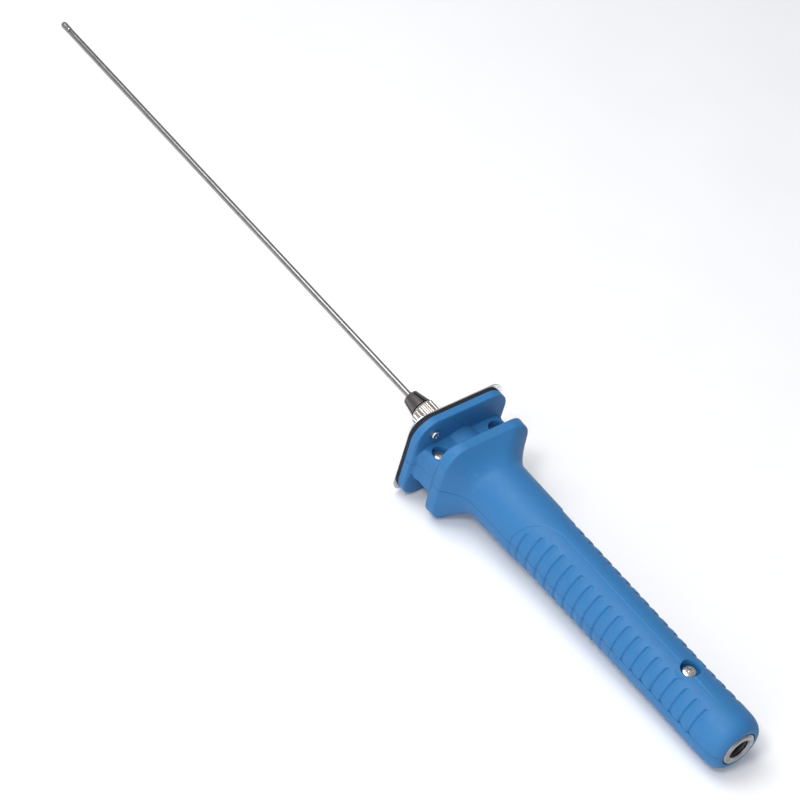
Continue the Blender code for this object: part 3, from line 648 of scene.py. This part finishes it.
# Front end ----------------------------------------------------------------------------------

def plate(name, node, slot, material, half_y, half_z, corner, swell=0.0):
    """A flat plate across the axis with a rounded outline, a bore and two screw holes.

    swell thickens it on both faces.
    """
    rear, front = stations(node)
    rear, front = rear - swell, front + swell
    angle = np.linspace(0.0, 2.0 * math.pi, 360, endpoint=False)[None, :]
    outline = rounded_rectangle(angle, half_y, half_z, corner)
    turn = np.linspace(0.0, math.pi / 2.0, 5)[:, None]
    inset = PLATE_EDGE * (1.0 - np.sin(turn))
    depth = PLATE_EDGE * (1.0 - np.cos(turn))
    outer = np.concatenate([outline - inset, outline - inset[::-1]])
    level = np.concatenate([front - depth, rear + depth[::-1]])
    bore = np.full_like(outline, BUSH_HOLE)
    outer = np.concatenate([bore, outer, bore])
    level = np.concatenate([[[front]], level, [[rear]]])
    points = to_frame(level, outer * np.cos(angle), outer * np.sin(angle))
    piece = skin(name, points, material, closed_rows=True)
    holes = [prism("screw_hole", circle(SHIELD_HOLE, 32), rear - 1.0, front + 1.0, "X", centre=centre)
             for centre in SHIELD_SCREWS.values()]
    combine(piece, holes)
    finish_piece(piece, node, "handle")


def cross(width, length):
    """Outline of a cross recess with arms of a width and a length."""
    near, far = width / 2.0, length / 2.0
    arm = [(far, near), (near, near), (near, far), (-near, far), (-near, near), (-far, near)]
    return arm + [(-a, -b) for a, b in arm]


def make_screw(name, node, axis, centre, seat, head_radius, head_height, shank, tip):
    """A domed screw with a tapered cross recess; the head stands on seat, away from tip."""
    out = 1.0 if seat > tip else -1.0
    top = seat + out * head_height
    edge = seat + out * head_height * 0.55
    dome = [(edge + (top - edge) * math.sin(a), head_radius * math.cos(a * 0.86))
            for a in np.linspace(0.0, math.pi / 2.0, 9)]
    profile = [(top, 0.0), *dome[::-1], (seat, head_radius), (seat, shank), (tip + out * 0.4, shank),
               (tip, shank * 0.6), (tip, 0.0)]
    screw = turned(name, profile, SCREW_STEEL, 72, 0.08, axis=axis, centre=centre)
    depth = head_height * 0.62
    outline = cross(head_radius * 0.30, head_radius * 1.25)
    low, high = top - out * depth, top + out * 0.4
    recess = prism("recess", outline, low, high, axis, taper=0.62, centre=centre)
    combine(screw, [recess])
    finish_piece(screw, node, "handle")


def fluted(height, radius, angle):
    """Straight round flutes along the nut, which run out on its chamfers."""
    phase = (angle * FLUTES / (2.0 * math.pi) + 0.5) % 1.0 - 0.5
    notch = FLUTE_DEPTH * np.sqrt(np.maximum(1.0 - (phase / FLUTE_HALF_WIDTH) ** 2, 0.0))
    outside = radius > NUT_BORE + 0.2
    return np.where(outside, np.minimum(radius, NUT_RADIUS - notch), radius + 0.0 * angle)


def make_nut():
    rear, front = stations("chuck_nut")
    profile = [
        (front, 3.85),
        (front - 0.2, 4.1),
        (front - 1.1, NUT_RADIUS),
        (rear + 0.35, NUT_RADIUS),
        (rear, NUT_RADIUS - 0.35),
        (rear, NUT_BORE),
        (10.6, NUT_BORE),
        (11.2, 2.7),
        (front, 2.7),
    ]
    nut = turned("nut", profile, NICKEL, FLUTES * 18, 0.14, ring=True, shape=fluted)
    finish_piece(nut, "chuck_nut", "nut", 38.0)


def make_collet():
    rear, front = stations("collet")
    profile = [
        (front, 2.8),
        (12.9, 3.9),
        (12.5, 4.0),
        (12.5, 2.4),
        (rear, 2.4),
        (rear, 1.4),
        (front, 1.4),
    ]
    collet = turned("collet_jaws", profile, COLLET_STEEL, 96, 0.14, ring=True)
    slot = 0.26
    combine(collet, [prism("slot_y", rectangle(slot, 12.0), 7.0, front + 1.0, "X")])
    combine(collet, [prism("slot_z", rectangle(12.0, slot), 7.0, front + 1.0, "X")])
    finish_piece(collet, "collet", "collet")


def make_chuck():
    rear, front = stations("chuck_body")
    profile = [
        (front, 3.1),
        (2.4, 3.1),
        (2.4, 3.4),
        (2.2, 4.3),
        (0.8, 4.3),
        (0.8, 3.6),
        (rear, 3.6),
        (rear, 1.4),
        (3.0, 1.4),
        (3.0, 2.7),
        (front, 2.7),
    ]
    chuck = turned("chuck", profile, BRASS, 96, 0.12, ring=True)
    finish_piece(chuck, "chuck_body", "handle")
    rear, front = stations("insulator_bush")
    profile = [
        (front, 6.0),
        (-4.6, 6.0),
        (-4.6, 7.3),
        (rear, 7.3),
        (rear, 3.9),
        (front, 3.9),
    ]
    bush = turned("bush", profile, CERAMIC, 96, 0.2, ring=True)
    finish_piece(bush, "insulator_bush", "handle")


def make_needle():
    rear, front = stations("needle_tube")
    rows = np.linspace(front, rear, 60)
    profile = [(x, 1.1) for x in rows] + [(rear, 0.7), (front, 0.7)]
    tube = turned("tube", profile, NEEDLE_STEEL, 64, 0.05, ring=True)
    finish_piece(tube, "needle_tube", "needle")

    rear, front = stations("needle_tip")
    profile = [
        (front, 0.0),
        (front, 1.02),
        (front - 0.9, 1.24),
        (front - 2.2, 1.16),
        (rear + 0.7, 1.22),
        (rear, 1.12),
        (rear, 0.0),
    ]

    def pinched(height, radius, angle):
        """The tube's end is squeezed shut, so it is a little flatter on one side."""
        return radius * (1.0 - 0.05 * (1.0 + np.cos(2.0 * angle)) / 2.0)

    tip = turned("tip", profile, NEEDLE_STEEL, 64, 0.25, shape=pinched)
    finish_piece(tip, "needle_tip", "needle")

    rear, front = stations("needle_bead")
    profile = [
        (front, 0.0),
        (front, 0.85),
        (front - 0.5, 1.1),
        (rear + 0.5, 1.1),
        (rear, 0.85),
        (rear, 0.0),
    ]
    bead = turned("bead", profile, CERAMIC, 48, 0.2)
    finish_piece(bead, "needle_bead", "needle")

    rear, front = stations("needle_contact")
    profile = [
        (front, 0.0),
        (front, 0.8),
        (front - 1.6, 0.8),
        (front - 1.7, 0.62),
        (front - 2.3, 0.62),
        (front - 2.4, 0.8),
        (rear + 0.6, 0.8),
        (rear, 0.3),
        (rear, 0.0),
    ]
    contact = turned("contact", profile, BRASS, 48, 0.12)
    finish_piece(contact, "needle_contact", "needle")


# Rear end -----------------------------------------------------------------------------------

def make_socket():
    rear, front = stations("jack_bezel")
    radius = half_width("jack_bezel")
    profile = [
        (front, radius),
        (rear + 0.5, radius),
        (rear, radius - 0.5),
        (rear, 4.3),
        (rear + 0.5, 3.7),
        (rear + 0.7, 3.7),
        (rear + 0.7, 5.3),
        (front, 5.3),
    ]
    bezel = turned("bezel", profile, RING_STEEL, 96, 0.14, ring=True)
    finish_piece(bezel, "jack_bezel", "handle")

    rear, front = stations("jack_housing")
    inside = front - 2.0
    flange = rear + 3.4
    profile = [
        (front, 0.0),
        (front, 5.0),
        (flange + 1.6, 5.0),
        (flange + 1.6, 6.8),
        (flange, 6.8),
        (flange, 5.0),
        (rear, 5.0),
        (rear, 3.5),
        (rear + 0.6, 3.2),
        (inside, 3.2),
        (inside, 0.0),
    ]
    housing = turned("housing", profile, BLACK, 96, 0.12)
    pin_hole = prism("pin_hole", circle(1.3, 32), inside - 0.5, front + 1.0, "X")
    outline = [(a, b - 3.25) for a, b in rectangle(1.1, 1.0)]
    slot = prism("leaf_slot", outline, rear + 3.5, front + 1.0, "X")
    combine(housing, [pin_hole])
    combine(housing, [slot])
    finish_piece(housing, "jack_housing", "handle")

    rear, front = stations("jack_centre_pin")
    dome = [(rear + 1.0 - math.sin(a), 1.05 * math.cos(a)) for a in np.linspace(0.0, math.pi / 2.0, 9)]
    profile = [(front, 0.0), (front, 0.6), (front - 2.0, 0.6), (front - 2.0, 1.05), *dome]
    pin = turned("centre_pin", profile, NICKEL, 48, 0.08)
    finish_piece(pin, "jack_centre_pin", "handle")


# Pieces -------------------------------------------------------------------------------------

make_shell("shell_upper", "upper_shell", 1.0)
make_shell("shell_lower", "lower_shell", -1.0)
plate("shield", "heat_shield", "polished_steel", PLATE_STEEL, half_width("heat_shield"),
      (SHIELD_HIGH.z - SHIELD_LOW.z) / 2.0 / MM, SHIELD_CORNER)
plate("gasket", "shield_gasket", "black_rubber", RUBBER, *GUARD, GASKET_SWELL)
make_chuck()
make_nut()
make_collet()
make_needle()
make_socket()

for label, screw in SHELL_SCREWS.items():
    tip = (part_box("shell_screw_" + label)[0].z - AXIS.z) / MM
    make_screw(label + "_screw", "shell_screw_" + label, "Z", screw["place"], screw["seat"] + HEAD_LIFT,
               screw["head"], screw["rise"], SHANK_RADIUS, tip)
for label, place in SHIELD_SCREWS.items():
    make_screw("plate_screw_" + label, "shield_screw_" + label, "X", place, SHIELD_SEAT - HEAD_LIFT,
               *SHIELD_HEAD, SHIELD_SHANK_RADIUS, stations("shield_screw_" + label)[1])

CARRIED_OVER = {
    "heater_wire": GLASS,
    "contact_socket": BRASS,
    "socket_holder": BLACK,
    "chuck_lock_nut": NICKEL,
    "chuck_terminal": NICKEL,
    "jack_leaf_contact": BRASS,
    "lead_positive": RED,
    "lead_negative": DARK,
}
for node, finish in CARRIED_OVER.items():
    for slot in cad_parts[node].material_slots:
        slot.material = finish


# Floor, light and camera --------------------------------------------------------------------

def make_floor():
    """A plain pale floor under the guards, tilted so that the handle's rear end rests on it too."""
    guard_x, guard_z = GUARD_RIM_REAR, (SHIELD_LOW.z - AXIS.z) / MM
    rear_x, rear_z = HANDLE_ROUND_START, -HANDLE_REAR_RADIUS
    slope = (rear_z - guard_z) / (rear_x - guard_x)
    far = 1500.0
    corners = [(-far, -far), (far, -far), (far, far), (-far, far)]
    points = [to_frame(x, y, guard_z + slope * (x - guard_x)) for x, y in corners]
    mesh = bpy.data.meshes.new("floor")
    mesh.from_pydata([tuple(point) for point in points], [], [(0, 1, 2, 3)])
    graph = Graph("floor_card", (0.86, 0.86, 0.87), 0.85)
    shade_of_white = graph.spread(graph.noise(40.0), 0.0, 1.0)
    graph.connect("Base Color", graph.blend(shade_of_white, (0.85, 0.85, 0.86), (0.87, 0.87, 0.88)))
    floor = link("floor", mesh, graph.material)


def soft_light(name, place, size, power):
    """A square soft box at a place in millimetres from the tool's origin, aimed at the handle."""
    lamp = bpy.data.lights.new(name, "AREA")
    lamp.shape = "SQUARE"
    lamp.size = size * MM
    lamp.energy = power
    light = bpy.data.objects.new(name, lamp)
    bpy.context.scene.collection.objects.link(light)
    light.location = to_frame(*place)
    target = Vector(to_frame(*LIGHT_AIM))
    light.rotation_euler = (target - light.location).to_track_quat("-Z", "Y").to_euler()


def make_world():
    world = bpy.data.worlds.new("studio")
    world.use_nodes = True
    background = world.node_tree.nodes["Background"]
    background.inputs["Color"].default_value = (0.93, 0.96, 1.0, 1.0)
    background.inputs["Strength"].default_value = 0.42
    bpy.context.scene.world = world


def make_camera():
    data = bpy.data.cameras.new("camera")
    data.lens = CAMERA_LENS
    data.sensor_width = 36.0
    camera = bpy.data.objects.new("camera", data)
    bpy.context.scene.collection.objects.link(camera)
    collet_tip = stations("collet")[1]
    aim = Vector(to_frame(collet_tip + CAMERA_AIM[0], CAMERA_AIM[1], CAMERA_AIM[2]))
    azimuth, elevation = math.radians(CAMERA_AZIMUTH), math.radians(CAMERA_ELEVATION)
    forward = Vector((-math.sin(azimuth) * math.cos(elevation), math.cos(azimuth) * math.cos(elevation),
                      -math.sin(elevation)))
    camera.location = aim - forward * CAMERA_DISTANCE * MM
    turn = forward.to_track_quat("-Z", "Y").to_matrix().to_4x4()
    roll = Matrix.Rotation(math.radians(CAMERA_ROLL), 4, "Z")
    camera.rotation_euler = (turn @ roll).to_euler()
    bpy.context.scene.camera = camera


make_floor()
make_world()
soft_light("key", (260.0, 220.0, 800.0), 620.0, 5.6)
soft_light("accent", (-120.0, 420.0, 620.0), 130.0, 1.6)
soft_light("fill", (-300.0, 700.0, 300.0), 600.0, 2.6)
make_camera()
bpy.context.scene.view_settings.view_transform = "Standard"
